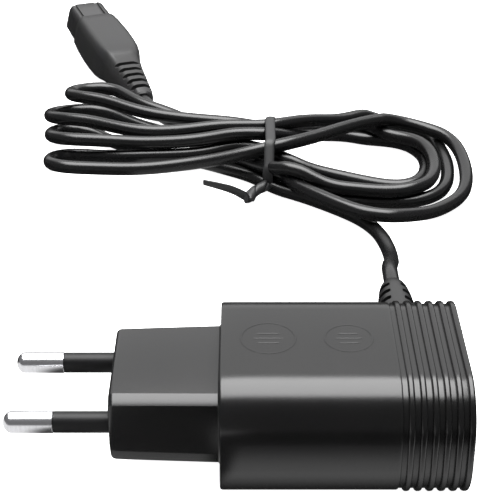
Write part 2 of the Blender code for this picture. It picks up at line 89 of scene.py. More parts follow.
# Each fold of the hank: the place under the tie it starts from, the run out, how far it reaches, and the run
# back.
TIE_X = 8.2
FOLDS = [
    (
        (102.8, 2.7),
        [(-1.2, 110.0, 2.0), (-8.5, 115.0, 1.8), (-20.0, 119.8, 1.8), (-28.0, 123.8, 1.8), (-36.0, 129.8, 1.9),
         (-42.0, 133.8, 2.6)],
        -49.0,
        [(-41.0, 118.0, 7.0), (-33.0, 117.0, 7.1), (-22.2, 115.3, 7.3), (-13.0, 114.5, 8.2),
         (-4.0, 114.1, 9.5)],
    ),
    (
        (113.4, 10.7),
        [(12.5, 118.2, 8.0), (17.0, 123.8, 5.2), (24.0, 130.6, 2.2), (31.0, 131.4, 1.8), (37.0, 128.8, 1.8)],
        48.6,
        [(40.5, 101.6, 1.8), (35.0, 103.2, 1.8), (28.9, 104.9, 2.2), (19.4, 106.1, 4.0), (13.4, 106.0, 5.4)],
    ),
    (
        (109.6, 7.6),
        [(1.0, 113.6, 6.9), (-8.4, 113.4, 5.3), (-20.2, 114.4, 4.3), (-30.5, 115.8, 3.2), (-37.0, 118.0, 2.2),
         (-42.5, 119.6, 1.9)],
        -48.2,
        [(-41.0, 107.4, 4.3), (-30.0, 107.5, 3.8), (-21.9, 107.9, 3.8), (-12.8, 108.3, 4.8),
         (-3.9, 106.9, 6.9)],
    ),
    (
        (106.2, 10.4),
        [(12.1, 107.9, 10.5), (18.5, 112.5, 10.0), (26.5, 118.9, 9.5), (33.2, 124.3, 8.8), (39.2, 127.6, 7.4),
         (45.5, 129.4, 6.2), (50.4, 127.2, 5.2)],
        57.8,
        [(52.1, 92.9, 1.9), (47.6, 87.8, 2.2), (38.4, 81.5, 4.6), (34.9, 79.9, 5.3), (31.9, 80.6, 5.4),
         (26.9, 83.6, 5.4), (20.0, 90.2, 5.3), (13.5, 98.6, 5.0)],
    ),
    (
        (106.6, 2.7),
        [(1.0, 115.8, 1.9), (-5.0, 123.6, 2.8), (-11.3, 130.2, 5.2), (-19.5, 136.8, 6.4), (-25.6, 139.9, 7.0),
         (-35.2, 150.4, 7.2)],
        -45.6,
        [(-37.5, 136.4, 10.4), (-30.0, 131.5, 10.1), (-22.8, 127.8, 9.8), (-10.9, 124.8, 9.4),
         (0.5, 124.3, 8.6)],
    ),
    (
        (123.4, 7.4),
        [(12.0, 127.0, 5.8), (17.0, 132.8, 2.4), (24.0, 136.0, 1.8), (31.0, 135.3, 1.8), (38.0, 126.4, 4.6)],
        49.8,
        [(40.5, 93.6, 4.6), (36.1, 92.9, 4.6), (28.9, 94.2, 4.8), (21.6, 95.5, 5.4), (14.3, 97.4, 7.0)],
    ),
    (
        (102.8, 6.3),
        [(1.0, 112.4, 4.6), (-5.0, 119.6, 3.2), (-16.0, 130.5, 1.9), (-27.6, 138.6, 1.8), (-38.5, 146.6, 2.4)],
        -50.4,
        [(-40.5, 127.2, 8.3), (-31.0, 121.8, 8.6), (-22.4, 118.7, 8.9), (-13.1, 118.3, 9.4),
         (-4.1, 118.8, 10.4)],
    ),
    (
        (117.8, 10.9),
        [(12.4, 120.9, 10.2), (18.0, 125.2, 9.0), (27.2, 130.9, 6.5), (32.9, 133.3, 5.2), (39.1, 136.6, 3.2),
         (46.8, 136.0, 1.9)],
        53.9,
        [(45.5, 95.0, 1.8), (40.0, 93.6, 1.8), (34.3, 93.4, 1.8), (25.4, 95.2, 1.8), (19.0, 99.0, 2.0),
         (14.0, 104.0, 3.2)],
    ),
]
LAST_SLOT = (112.4, 4.6)


def fold_bend(start, end, reach, steps=7):
    """Rounded end of a fold: half an oval from the run out to the run back."""
    points = []
    for step in range(1, steps):
        turn = math.pi * step / steps
        share = (1 - math.cos(turn)) / 2
        base = start[0] + (end[0] - start[0]) * share
        x = base + (reach - base) * math.sin(turn)
        points.append((x, start[1] + (end[1] - start[1]) * share, start[2] + (end[2] - start[2]) * share))
    return points


def lead_knots():
    """Every knot of the lead in order, from the strain relief to the connector."""
    knots = list(LEAD_FIRST)
    for slot, run_out, reach, run_back in FOLDS:
        knots.append((TIE_X, *slot))
        knots += run_out + fold_bend(run_out[-1], run_back[0], reach) + run_back
    knots.append((TIE_X, *LAST_SLOT))
    return np.array(knots + LEAD_LAST)


def even_points(points, spacing):
    """The same line with its points the same distance apart."""
    along = np.concatenate([[0], np.cumsum(np.linalg.norm(np.diff(points, axis=0), axis=1))])
    count = int(round(along[-1] / spacing)) + 1
    marks = np.linspace(0, along[-1], count)
    return np.stack([np.interp(marks, along, points[:, k]) for k in range(3)], axis=1)


def rounded_line(knots, steps=12):
    """Centripetal spline through the knots."""
    ends = np.vstack([2 * knots[0] - knots[1], knots, 2 * knots[-1] - knots[-2]])
    line = []
    for a, b, c, d in zip(ends, ends[1:], ends[2:], ends[3:]):
        t1 = np.linalg.norm(b - a) ** 0.5
        t2 = t1 + np.linalg.norm(c - b) ** 0.5
        t3 = t2 + np.linalg.norm(d - c) ** 0.5
        for t in np.linspace(t1, t2, steps, endpoint=False):
            ab = a + (b - a) * t / t1
            bc = b + (c - b) * (t - t1) / (t2 - t1)
            cd = c + (d - c) * (t - t2) / (t3 - t2)
            abc = ab + (bc - ab) * t / t2
            bcd = bc + (cd - bc) * (t - t1) / (t3 - t1)
            line.append(abc + (bcd - abc) * (t - t1) / (t2 - t1))
    line.append(knots[-1])
    return np.array(line)


SAME_BEND = 12.0
SKIN_GAP = 0.08
SETTLING_ROUNDS = 90
LAST_PUSHES = 15


def settle(points, spacing):
    """Pushes crossing turns apart until each lies on its neighbours, smooth and on the table."""
    count = len(points)
    index = np.arange(count)
    near = np.abs(index[:, None] - index[None, :]) * spacing < SAME_BEND
    held = (index < 3) | (index > count - 3)
    home = points.copy()
    for turn in range(SETTLING_ROUNDS):
        gap = points[:, None] - points[None]
        distance = np.linalg.norm(gap, axis=2)
        distance[near] = 10 * SAME_BEND
        overlap = np.clip(LEAD_DIAMETER + SKIN_GAP - distance, 0, None)
        push = (gap / np.maximum(distance, 0.2)[..., None] * overlap[..., None]).sum(1)
        touching = np.maximum((overlap > 0).sum(1), 1)
        points = points + 0.5 * push / touching[:, None] ** 0.5
        if turn < SETTLING_ROUNDS - LAST_PUSHES:
            smooth = points.copy()
            smooth[2:-2] = (4 * (points[1:-3] + points[3:-1]) - points[:-4] - points[4:]) / 6
            points = 0.55 * points + 0.45 * smooth
            points = points + 0.01 * (home - points)
        points[:, 2] = np.maximum(points[:, 2], LEAD_REST)
        points[held] = home[held]
    return points


SETTLING_STEP = 2.0
LEAD_STEP = 1.25
lead_line = settle(even_points(rounded_line(lead_knots()), SETTLING_STEP), SETTLING_STEP)
lead_line = even_points(rounded_line(lead_line, 3), LEAD_STEP)


def add_piece(name, data, material, replaces):
    """Links a finished piece, gives it its material, and puts it on the charger's one body."""
    piece = bpy.data.objects.new(name, data)
    bpy.context.collection.objects.link(piece)
    data.materials.clear()
    data.materials.append(material)
    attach(piece, "root")
    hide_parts(*replaces)
    return piece


def math_step(tree, operation, *values):
    """Adds one step of arithmetic on sockets or plain numbers to a node tree."""
    node = tree.nodes.new("ShaderNodeMath")
    node.operation = operation
    for socket, value in zip(node.inputs, values):
        if isinstance(value, (int, float)):
            socket.default_value = value
        else:
            tree.links.new(value, socket)
    return node.outputs[0]


# Sharp edges: a painted highlight lifts their colour towards this grey, and polish makes them glossier.
PAINTED_EDGE_HIGHLIGHT = (0.025, 0.025, 0.026, 1.0)
WORN_GLOSS = -0.12


def make_skin_group():
    """Moulded plastic skin: fine grain, slow changes of gloss, and sharp edges made glossier by polish, with a
    painted highlight that lightens their colour.
    """
    group = bpy.data.node_groups.new("moulded_skin", "ShaderNodeTree")
    face = group.interface
    for label, kind, value in (
        ("Colour", "NodeSocketColor", (0.01, 0.01, 0.01, 1.0)),
        ("Roughness", "NodeSocketFloat", 0.3),
        ("Gloss Change", "NodeSocketFloat", 0.06),
        ("Grain Scale", "NodeSocketFloat", 2600.0),
        ("Grain Depth", "NodeSocketFloat", 0.05),
        ("Edge Polish And Highlight", "NodeSocketFloat", 0.3),
    ):
        socket = face.new_socket(label, in_out="INPUT", socket_type=kind)
        socket.default_value = value
    face.new_socket("Colour", in_out="OUTPUT", socket_type="NodeSocketColor")
    face.new_socket("Roughness", in_out="OUTPUT", socket_type="NodeSocketFloat")
    face.new_socket("Normal", in_out="OUTPUT", socket_type="NodeSocketVector")
    nodes, links = group.nodes, group.links
    inputs = nodes.new("NodeGroupInput")
    outputs = nodes.new("NodeGroupOutput")
    place = nodes.new("ShaderNodeTexCoord")

    grain = nodes.new("ShaderNodeTexNoise")
    grain.inputs["Detail"].default_value = 3.0
    links.new(place.outputs["Object"], grain.inputs["Vector"])
    links.new(inputs.outputs["Grain Scale"], grain.inputs["Scale"])
    bump = nodes.new("ShaderNodeBump")
    bump.inputs["Distance"].default_value = 0.00006
    links.new(grain.outputs["Fac"], bump.inputs["Height"])
    links.new(inputs.outputs["Grain Depth"], bump.inputs["Strength"])
    links.new(bump.outputs["Normal"], outputs.inputs["Normal"])

    cloud = nodes.new("ShaderNodeTexNoise")
    cloud.inputs["Scale"].default_value = 90.0
    cloud.inputs["Detail"].default_value = 4.0
    cloud.inputs["Roughness"].default_value = 0.65
    links.new(place.outputs["Object"], cloud.inputs["Vector"])
    centred = math_step(group, "SUBTRACT", cloud.outputs["Fac"], 0.5)
    change, base = inputs.outputs["Gloss Change"], inputs.outputs["Roughness"]
    spread = math_step(group, "MULTIPLY_ADD", centred, change, base)

    geometry = nodes.new("ShaderNodeNewGeometry")
    edge = nodes.new("ShaderNodeMapRange")
    edge.inputs["From Min"].default_value = 0.52
    edge.inputs["From Max"].default_value = 0.62
    links.new(geometry.outputs["Pointiness"], edge.inputs["Value"])
    edge_polish_and_highlight = math_step(group, "MULTIPLY", edge.outputs["Result"], inputs.outputs["Edge Polish And Highlight"])
    links.new(math_step(group, "MULTIPLY_ADD", edge_polish_and_highlight, WORN_GLOSS, spread), outputs.inputs["Roughness"])

    # Painted highlight: the colour of sharp convex edges is lifted towards a lighter grey.
    edge_highlight = nodes.new("ShaderNodeMix")
    edge_highlight.data_type = "RGBA"
    edge_highlight.inputs["B"].default_value = PAINTED_EDGE_HIGHLIGHT
    links.new(edge_polish_and_highlight, edge_highlight.inputs["Factor"])
    links.new(inputs.outputs["Colour"], edge_highlight.inputs["A"])
    tint = nodes.new("ShaderNodeMix")
    tint.data_type = "RGBA"
    tint.blend_type = "MULTIPLY"
    tint.inputs["Factor"].default_value = 0.25
    links.new(edge_highlight.outputs["Result"], tint.inputs["A"])
    links.new(cloud.outputs["Color"], tint.inputs["B"])
    links.new(tint.outputs["Result"], outputs.inputs["Colour"])
    return group


MOULDED_SKIN = make_skin_group()


def skin_material(
    name, colour, roughness, grain=0.05, scale=2600.0, change=0.06, edge=0.3, metallic=0.0, ior=1.5
):
    """A Principled material whose colour, gloss and grain come from the moulded skin."""
    material = bpy.data.materials.new(name)
    material.use_nodes = True
    nodes, links = material.node_tree.nodes, material.node_tree.links
    shader = nodes["Principled BSDF"]
    shader.inputs["Metallic"].default_value = metallic
    shader.inputs["IOR"].default_value = ior
    skin = nodes.new("ShaderNodeGroup")
    skin.node_tree = MOULDED_SKIN
    skin.inputs["Colour"].default_value = (*colour, 1.0)
    skin.inputs["Roughness"].default_value = roughness
    skin.inputs["Gloss Change"].default_value = change
    skin.inputs["Grain Scale"].default_value = scale
    skin.inputs["Grain Depth"].default_value = grain
    skin.inputs["Edge Polish And Highlight"].default_value = edge
    links.new(skin.outputs["Colour"], shader.inputs["Base Color"])
    links.new(skin.outputs["Roughness"], shader.inputs["Roughness"])
    links.new(skin.outputs["Normal"], shader.inputs["Normal"])
    return material


lead_pvc = skin_material("lead_pvc", (0.0035, 0.0035, 0.0037), 0.27, grain=0.06, scale=1500.0, edge=0.0)

lead_curve = bpy.data.curves.new("lead", "CURVE")
lead_curve.dimensions = "3D"
lead_curve.bevel_depth = LEAD_DIAMETER / 2 * MM
lead_curve.bevel_resolution = 5
lead_curve.use_fill_caps = True
lead_spline = lead_curve.splines.new("POLY")
lead_spline.points.add(len(lead_line) - 1)
for point, place in zip(lead_spline.points, lead_line):
    point.co = (*(place * MM), 1.0)
lead_spline.use_smooth = True
lead = add_piece("lead", lead_curve, lead_pvc, ("cord_lead", "cord_hank", "cord_end"))


# ---------------------------------------------------------------- casing
# Deep black ABS shell with broad rounded corners, moulded in one piece with a closed end. Six grip ribs run
# round the closed end, each a rounded bead standing in a shallow recess. The front closure plugs its open
# mouth.
CASING_WIDTH = 38.6
CASING_HEIGHT = 23.2
CASING_CORNER = 9.0
CASING_WALL = 2.0
CASING_FRONT = -2.6
CASING_END = 41.25
CASING_Z = 11.85
RIB_COUNT = 6
RIB_PITCH = 2.07
RIB_WIDTH = 1.15
RIB_PROUD = 0.25
RECESS = 0.3
FIRST_RIB = CASING_END - RIB_WIDTH - (RIB_COUNT - 1) * RIB_PITCH


def rounded_outline(half_width, half_height, radius, corner_points=10):
    """Corner-rounded rectangle as (across, up) points, anticlockwise."""
    outline = []
    for corner in range(4):
        side = 1 if corner in (0, 3) else -1
        rise = 1 if corner < 2 else -1
        for k in range(corner_points):
            angle = math.pi / 2 * (corner + k / (corner_points - 1))
            across = side * (half_width - radius) + radius * math.cos(angle)
            outline.append((across, rise * (half_height - radius) + radius * math.sin(angle)))
    return outline


def skin_rings(rings):
    """Closed mesh through rings of points, capped at both ends, in millimetres."""
    bm = bmesh.new()
    loops = [[bm.verts.new(Vector(point) * MM) for point in ring] for ring in rings]
    count = len(loops[0])
    for lower, upper in zip(loops, loops[1:]):
        for i in range(count):
            j = (i + 1) % count
            bm.faces.new((lower[i], upper[i], upper[j], lower[j]))
    bm.faces.new(loops[0])
    bm.faces.new(list(reversed(loops[-1])))
    bmesh.ops.recalc_face_normals(bm, faces=bm.faces)
    return bm


def plain_mesh(name, bm):
    mesh = bpy.data.meshes.new(name)
    bm.to_mesh(mesh)
    bm.free()
    return mesh


def smoothed(mesh, sharp):
    """Shades a mesh smooth apart from edges sharper than an angle."""
    mesh.shade_smooth()
    mesh.set_sharp_from_angle(angle=math.radians(sharp))
    return mesh


def joined(meshes):
    """One bmesh out of several meshes."""
    bm = bmesh.new()
    for mesh in meshes:
        bm.from_mesh(mesh)
    return bm


def casing_ring(x, inset):
    outline = rounded_outline(CASING_WIDTH / 2 - inset, CASING_HEIGHT / 2 - inset, CASING_CORNER - inset)
    return [(x, across, CASING_Z + up) for across, up in outline]


def casing_stations():
    """(x, inset) from the inside of the closed end, out round the mouth, and along the outside to the end."""
    inside = CASING_WALL
    stations = [(CASING_END - CASING_WALL, inside + 0.6), (CASING_END - CASING_WALL - 0.6, inside)]
    stations += [(20.0, inside), (CASING_FRONT + 0.2, inside), (CASING_FRONT, inside - 0.2)]
    stations += [(CASING_FRONT, 0.35), (CASING_FRONT + 0.12, 0.12), (CASING_FRONT + 0.4, 0.0)]
    stations += [(x, 0.0) for x in (4.0, 12.0, 20.0, 25.0, FIRST_RIB - 1.5)]
    edge = FIRST_RIB - (RIB_PITCH - RIB_WIDTH)
    stations += [(edge - 0.3, 0.0), (edge - 0.08, 0.07), (edge, 0.2), (edge + 0.06, RECESS)]
    stations += [
        (CASING_END - 0.55, RECESS), (CASING_END - 0.2, RECESS + 0.15), (CASING_END - 0.05, RECESS + 0.5)
    ]
    stations += [(CASING_END - 0.02, RECESS + 2.0)]
    return stations


casing_bm = skin_rings([casing_ring(x, inset) for x, inset in casing_stations()])
casing_mesh = smoothed(plain_mesh("casing_shell", casing_bm), 35.0)


def make_rib_tree():
    """Grip ribs: one bead swept round the casing's outline, repeated along it, and laid over the shell."""
    tree = bpy.data.node_groups.new("grip_ribs", "GeometryNodeTree")
    face = tree.interface
    face.new_socket("Geometry", in_out="INPUT", socket_type="NodeSocketGeometry")
    sizes = {
        "Width": CASING_WIDTH * MM,
        "Height": CASING_HEIGHT * MM,
        "Corner": CASING_CORNER * MM,
        "Bead Width": RIB_WIDTH * MM,
        "Bead Depth": 1.1 * MM,
        "Bead Rounding": 0.42 * MM,
        "Proud": RIB_PROUD * MM,
        "Pitch": RIB_PITCH * MM,
        "First": (FIRST_RIB + RIB_WIDTH / 2) * MM,
        "Middle Height": CASING_Z * MM,
    }
    for label, value in sizes.items():
        face.new_socket(label, in_out="INPUT", socket_type="NodeSocketFloat").default_value = value
    face.new_socket("Count", in_out="INPUT", socket_type="NodeSocketInt").default_value = RIB_COUNT
    face.new_socket("Material", in_out="INPUT", socket_type="NodeSocketMaterial")
    face.new_socket("Geometry", in_out="OUTPUT", socket_type="NodeSocketGeometry")
    nodes, links = tree.nodes, tree.links
    inputs = nodes.new("NodeGroupInput")
    outputs = nodes.new("NodeGroupOutput")

    def outline(width, height, radius, count):
        shape = nodes.new("GeometryNodeCurvePrimitiveQuadrilateral")
        links.new(width, shape.inputs["Width"])
        links.new(height, shape.inputs["Height"])
        fillet = nodes.new("GeometryNodeFilletCurve")
        fillet.mode = "POLY"
        fillet.inputs["Count"].default_value = count
        links.new(shape.outputs["Curve"], fillet.inputs["Curve"])
        links.new(radius, fillet.inputs["Radius"])
        return fillet.outputs["Curve"]

    # The path runs along the middle of the bead, half its depth inside the crest.
    half_depth = math_step(tree, "MULTIPLY", inputs.outputs["Bead Depth"], 0.5)
    sunk = math_step(tree, "SUBTRACT", inputs.outputs["Proud"], half_depth)
    twice = math_step(tree, "MULTIPLY", sunk, 2.0)
    path = outline(
        math_step(tree, "ADD", inputs.outputs["Height"], twice),
        math_step(tree, "ADD", inputs.outputs["Width"], twice),
        math_step(tree, "ADD", inputs.outputs["Corner"], sunk),
        12,
    )
    bead = outline(
        inputs.outputs["Bead Depth"], inputs.outputs["Bead Width"], inputs.outputs["Bead Rounding"], 4
    )
    upright = nodes.new("GeometryNodeSetCurveNormal")
    upright.mode = "Z_UP"
    links.new(path, upright.inputs["Curve"])
    sweep = nodes.new("GeometryNodeCurveToMesh")
    links.new(upright.outputs["Curve"], sweep.inputs["Curve"])
    links.new(bead, sweep.inputs["Profile Curve"])

    start = nodes.new("ShaderNodeCombineXYZ")
    links.new(inputs.outputs["First"], start.inputs["X"])
    links.new(inputs.outputs["Middle Height"], start.inputs["Z"])
    step = nodes.new("ShaderNodeCombineXYZ")
    links.new(inputs.outputs["Pitch"], step.inputs["X"])
    row = nodes.new("GeometryNodeMeshLine")
    links.new(inputs.outputs["Count"], row.inputs["Count"])
    links.new(start.outputs[0], row.inputs["Start Location"])
    links.new(step.outputs[0], row.inputs["Offset"])
    place = nodes.new("GeometryNodeInstanceOnPoints")
    place.inputs["Rotation"].default_value = (0, math.pi / 2, 0)
    links.new(row.outputs["Mesh"], place.inputs["Points"])
    links.new(sweep.outputs["Mesh"], place.inputs["Instance"])
    together = nodes.new("GeometryNodeJoinGeometry")
    links.new(place.outputs["Instances"], together.inputs[0])
    links.new(inputs.outputs["Geometry"], together.inputs[0])
    real = nodes.new("GeometryNodeRealizeInstances")
    links.new(together.outputs[0], real.inputs[0])
    finish = nodes.new("GeometryNodeSetMaterial")
    links.new(real.outputs[0], finish.inputs["Geometry"])
    links.new(inputs.outputs["Material"], finish.inputs["Material"])
    links.new(finish.outputs[0], outputs.inputs[0])
    return tree


def grown_mesh(name, mesh, tree, values):
    """Runs a Geometry Nodes tree on a mesh with its inputs set, and returns the result as a plain mesh."""
    holder = bpy.data.objects.new(name, mesh)
    bpy.context.collection.objects.link(holder)
    modifier = holder.modifiers.new(name, "NODES")
    modifier.node_group = tree
    for item in tree.interface.items_tree:
        if item.in_out == "INPUT" and item.name in values:
            modifier[item.identifier] = values[item.name]
    bpy.context.view_layer.update()
    shaped = holder.evaluated_get(bpy.context.evaluated_depsgraph_get())
    result = bpy.data.meshes.new_from_object(shaped)
    holder.modifiers.remove(modifier)
    bpy.data.objects.remove(holder, do_unlink=True)
    result.name = name
    return result


casing_abs = skin_material("casing_abs", (0.0030, 0.0030, 0.0031), 0.24, grain=0.06, scale=3200.0, edge=0.25)
casing_mesh = grown_mesh("casing", casing_mesh, make_rib_tree(), {"Material": casing_abs, "Count": RIB_COUNT})

PAD_SIDE = 9.6
PAD_DEPTH = 2.0
LEAD_X = 32.4
MARKS = ((6.0, 4.9), (20.5, 4.3))
MARK_Y = 0.6
MARK_HEIGHT = 0.06
MARK_WIDTH = 0.26
BAR_PITCH = 1.5
CASING_TOP = CASING_Z + CASING_HEIGHT / 2


def add_rounded_box(bm, size, centre, rounding, segments=3):
    """Adds a box with rounded edges, in millimetres."""
    made = bmesh.ops.create_cube(bm, size=1.0)["verts"]
    for vert in made:
        vert.co = Vector([(c + v * s) * MM for v, s, c in zip(vert.co, size, centre)])
    if rounding:
        edges = list({edge for vert in made for edge in vert.link_edges})
        bmesh.ops.bevel(bm, geom=edges, offset=rounding * MM, segments=segments, profile=0.5, affect="EDGES")


def add_round_mark(bm, x, y, radius, height, width, steps=96):
    """A low round-topped ring moulded on the top wall."""
    shoulder = (width * 0.6, height * 0.7)
    section = [(-width, -0.05), (-shoulder[0], shoulder[1]), (0, height), shoulder, (width, -0.05)]
    loops = []
    for k in range(steps):
        turn = 2 * math.pi * k / steps
        loops.append([
            bm.verts.new(MM * Vector((
                x + (radius + out) * math.cos(turn), y + (radius + out) * math.sin(turn), CASING_TOP + up
            )))
            for out, up in section
        ])
    for a, b in zip(loops, loops[1:] + loops[:1]):
        for i in range(len(section)):
            j = (i + 1) % len(section)
            bm.faces.new((a[i], b[i], b[j], a[j]))


detail = bmesh.new()
pad_y = CASING_WIDTH / 2 + 0.2 - PAD_DEPTH / 2
add_rounded_box(detail, (PAD_SIDE, PAD_DEPTH, PAD_SIDE), (LEAD_X, pad_y, CASING_Z), 0.4)
for mark_x, mark_radius in MARKS:
    add_round_mark(detail, mark_x, MARK_Y, mark_radius, MARK_HEIGHT, MARK_WIDTH)
    for bar in (-1, 0, 1):
        length = mark_radius * (1.1 if bar == 0 else 0.8)
        add_rounded_box(detail, (length, 0.45, 0.14), (mark_x, MARK_Y + BAR_PITCH * bar, CASING_TOP), 0.06, 2)
bmesh.ops.recalc_face_normals(detail, faces=detail.faces)
casing_whole = joined([casing_mesh, plain_mesh("casing_detail", detail)])
add_piece("casing", smoothed(plain_mesh("casing", casing_whole), 32.0), casing_abs, ("main_housing",))


# ---------------------------------------------------------------- plug block
# Front closure with the raised block that enters the wall socket's recess, moulded in black polycarbonate and
# pressed into the casing's mouth. The pins come out through two holes in its face.
BLOCK_FACE = -22.25
BLOCK_WIDTH = 24.4
BLOCK_HEIGHT = 13.8
BLOCK_CHAMFER = (1.9, 1.35)
BLOCK_TUCK = (1.2, 2.6)
BLOCK_RIM = 1.0
RIM_SIDE = 0.5
BLOCK_TAPER = 1.045
TAPER_MIDDLE = -14.0
FLANGE_DEPTH = 2.4
PIN_Z = 12.15
PIN_SPACING = 18.6
SLEEVE_RADIUS = 1.95
PLAY = 0.3
HOLE_DEPTH = 2.3


def chamfered_outline(half_width, half_height, soft=0.22):
    """Rectangle with flat corners, tucked in lower down, as (across, up) points, anticlockwise."""
    outline = []
    for leg, drop, rise in ((*BLOCK_TUCK, -1), (*BLOCK_CHAMFER, 1)):
        corner = [
            (half_width, half_height - drop - soft),
            (half_width - soft * 0.35, half_height - drop + soft * 0.45),
            (half_width - leg + soft * 0.7, half_height - soft * 0.25),
            (half_width - leg - soft, half_height),
        ]
        right = [(across, rise * up) for across, up in corner[::rise]]
        left = [(-across, rise * up) for across, up in corner[::-rise]]
        outline.append((right, left))
    (low_right, low_left), (top_right, top_left) = outline
    return low_right + top_right + top_left + low_left


def block_ring(x, inset, grow=1.0):
    """The block's outline at one depth, with its sides drawn in less than its top and bottom."""
    narrow = max(inset, 0) * RIM_SIDE + min(inset, 0)
    outline = chamfered_outline((BLOCK_WIDTH / 2 - narrow) * grow, (BLOCK_HEIGHT / 2 - inset) * grow)
    return [(x, across, PIN_Z + up) for across, up in outline]


def flange_ring(x, inset):
    edge = CASING_WALL + PLAY + inset
    outline = rounded_outline(CASING_WIDTH / 2 - edge, CASING_HEIGHT / 2 - edge, CASING_CORNER - edge, 8)
    return [(x, across, CASING_Z + up) for across, up in outline]


def cut_away(mesh, cutter_bm):
    """Takes the cutter's volume out of a mesh."""
    bmesh.ops.recalc_face_normals(cutter_bm, faces=cutter_bm.faces)
    cutter = bpy.data.objects.new("cutter", plain_mesh("cutter", cutter_bm))
    holder = bpy.data.objects.new("holder", mesh)
    for item in (cutter, holder):
        bpy.context.collection.objects.link(item)
    modifier = holder.modifiers.new("cut", "BOOLEAN")
    modifier.object = cutter
    modifier.operation = "DIFFERENCE"
    modifier.solver = "EXACT"
    bpy.context.view_layer.update()
    result = bpy.data.meshes.new_from_object(holder.evaluated_get(bpy.context.evaluated_depsgraph_get()))
    for item in (cutter, holder):
        bpy.data.objects.remove(item, do_unlink=True)
    result.materials.clear()
    return result


def add_rod(bm, start, end, radius, steps=48):
    """Adds a capped round bar between two points, in millimetres."""
    axis = Vector(end) - Vector(start)
    turn = axis.to_track_quat("Z", "Y").to_matrix().to_4x4()
    middle = (Vector(start) + Vector(end)) / 2 * MM
    bmesh.ops.create_cone(
        bm, cap_ends=True, segments=steps, radius1=radius * MM, radius2=radius * MM, depth=axis.length * MM,
        matrix=Matrix.Translation(middle) @ turn,
    )


block_rings = [
    block_ring(BLOCK_FACE + BLOCK_RIM * (1 - math.sin(angle)), BLOCK_RIM * (1 - math.cos(angle)))
    for angle in (math.pi / 2 * (1 - k / 4) for k in range(5))
]
block_rings += [
    block_ring(TAPER_MIDDLE, 0, 1 + (BLOCK_TAPER - 1) * 0.42),
    block_ring(CASING_FRONT - 0.35, 0, BLOCK_TAPER),
    block_ring(CASING_FRONT + 0.05, -0.35, BLOCK_TAPER),
]
flange_rings = [
    flange_ring(CASING_FRONT, 0.15),
    flange_ring(CASING_FRONT + 0.15, 0),
    flange_ring(CASING_FRONT + FLANGE_DEPTH, 0),
]
holes = bmesh.new()
for side in (-1, 1):
    y = side * PIN_SPACING / 2
    add_rod(holes, (BLOCK_FACE - 1, y, PIN_Z), (BLOCK_FACE + HOLE_DEPTH, y, PIN_Z), SLEEVE_RADIUS + PLAY)
block_mesh = cut_away(plain_mesh("block", skin_rings(block_rings)), holes)
block_whole = joined([block_mesh, plain_mesh("flange", skin_rings(flange_rings))])
block_plastic = skin_material("block_plastic", (0.0040, 0.0040, 0.0042), 0.26, scale=2800.0, edge=0.35)
block_mesh = smoothed(plain_mesh("plug_block", block_whole), 30.0)
add_piece("plug_block", block_mesh, block_plastic, ("plug_front",))


# ---------------------------------------------------------------- mains pins
# Two round brass pins, turned with domed tips and plated bright, 4 mm thick at the tip. Behind it each is
# turned down for a black insulating sleeve, which runs into the block.
PIN_LENGTH = 19.0
PIN_METAL = 9.0
PIN_RADIUS = 2.0
PIN_CORE = 1.2
PIN_DOME = 1.6
PIN_TAIL = -16.0


def turned_mesh(name, profile, start, direction, steps=64):
    """Solid turned from a (radius, along) profile about an axis, in millimetres."""
    turn = Vector(direction).to_track_quat("Z", "Y").to_matrix().to_4x4()
    matrix = Matrix.Translation(Vector(start)) @ turn
    rings = []
    for radius, along in profile:
        circle = []
        for k in range(steps):
            angle = 2 * math.pi * k / steps
            out = max(radius, 0.001)
            circle.append(matrix @ Vector((out * math.cos(angle), out * math.sin(angle), along)))
        rings.append(circle)
    bm = skin_rings(rings)
    bmesh.ops.remove_doubles(bm, verts=bm.verts, dist=0.000005)
    bmesh.ops.recalc_face_normals(bm, faces=bm.faces)
    return smoothed(plain_mesh(name, bm), 30.0)


def plated_material():
    """Bright plating with fine turning marks round the pin and a few rub marks along it."""
    material = bpy.data.materials.new("bright_plating")
    material.use_nodes = True
    nodes, links = material.node_tree.nodes, material.node_tree.links
    shader = nodes["Principled BSDF"]
    shader.inputs["Metallic"].default_value = 1.0
    place = nodes.new("ShaderNodeTexCoord")
    stretch = nodes.new("ShaderNodeMapping")
    stretch.inputs["Scale"].default_value = (2600.0, 60.0, 60.0)
    links.new(place.outputs["Object"], stretch.inputs["Vector"])
    marks = nodes.new("ShaderNodeTexNoise")
    marks.inputs["Scale"].default_value = 1.0
    marks.inputs["Detail"].default_value = 3.0
    links.new(stretch.outputs["Vector"], marks.inputs["Vector"])
    gloss = nodes.new("ShaderNodeMapRange")
    gloss.inputs["To Min"].default_value = 0.21
    gloss.inputs["To Max"].default_value = 0.27
    links.new(marks.outputs["Fac"], gloss.inputs["Value"])
    links.new(gloss.outputs["Result"], shader.inputs["Roughness"])
    tone = nodes.new("ShaderNodeMix")
    tone.data_type = "RGBA"
    tone.inputs["A"].default_value = (0.80, 0.80, 0.82, 1.0)
    tone.inputs["B"].default_value = (0.66, 0.66, 0.68, 1.0)
    links.new(marks.outputs["Fac"], tone.inputs["Factor"])
    links.new(tone.outputs["Result"], shader.inputs["Base Color"])
    bump = nodes.new("ShaderNodeBump")
    bump.inputs["Strength"].default_value = 0.02
    bump.inputs["Distance"].default_value = 0.00001
    links.new(marks.outputs["Fac"], bump.inputs["Height"])
    links.new(bump.outputs["Normal"], shader.inputs["Normal"])
    return material


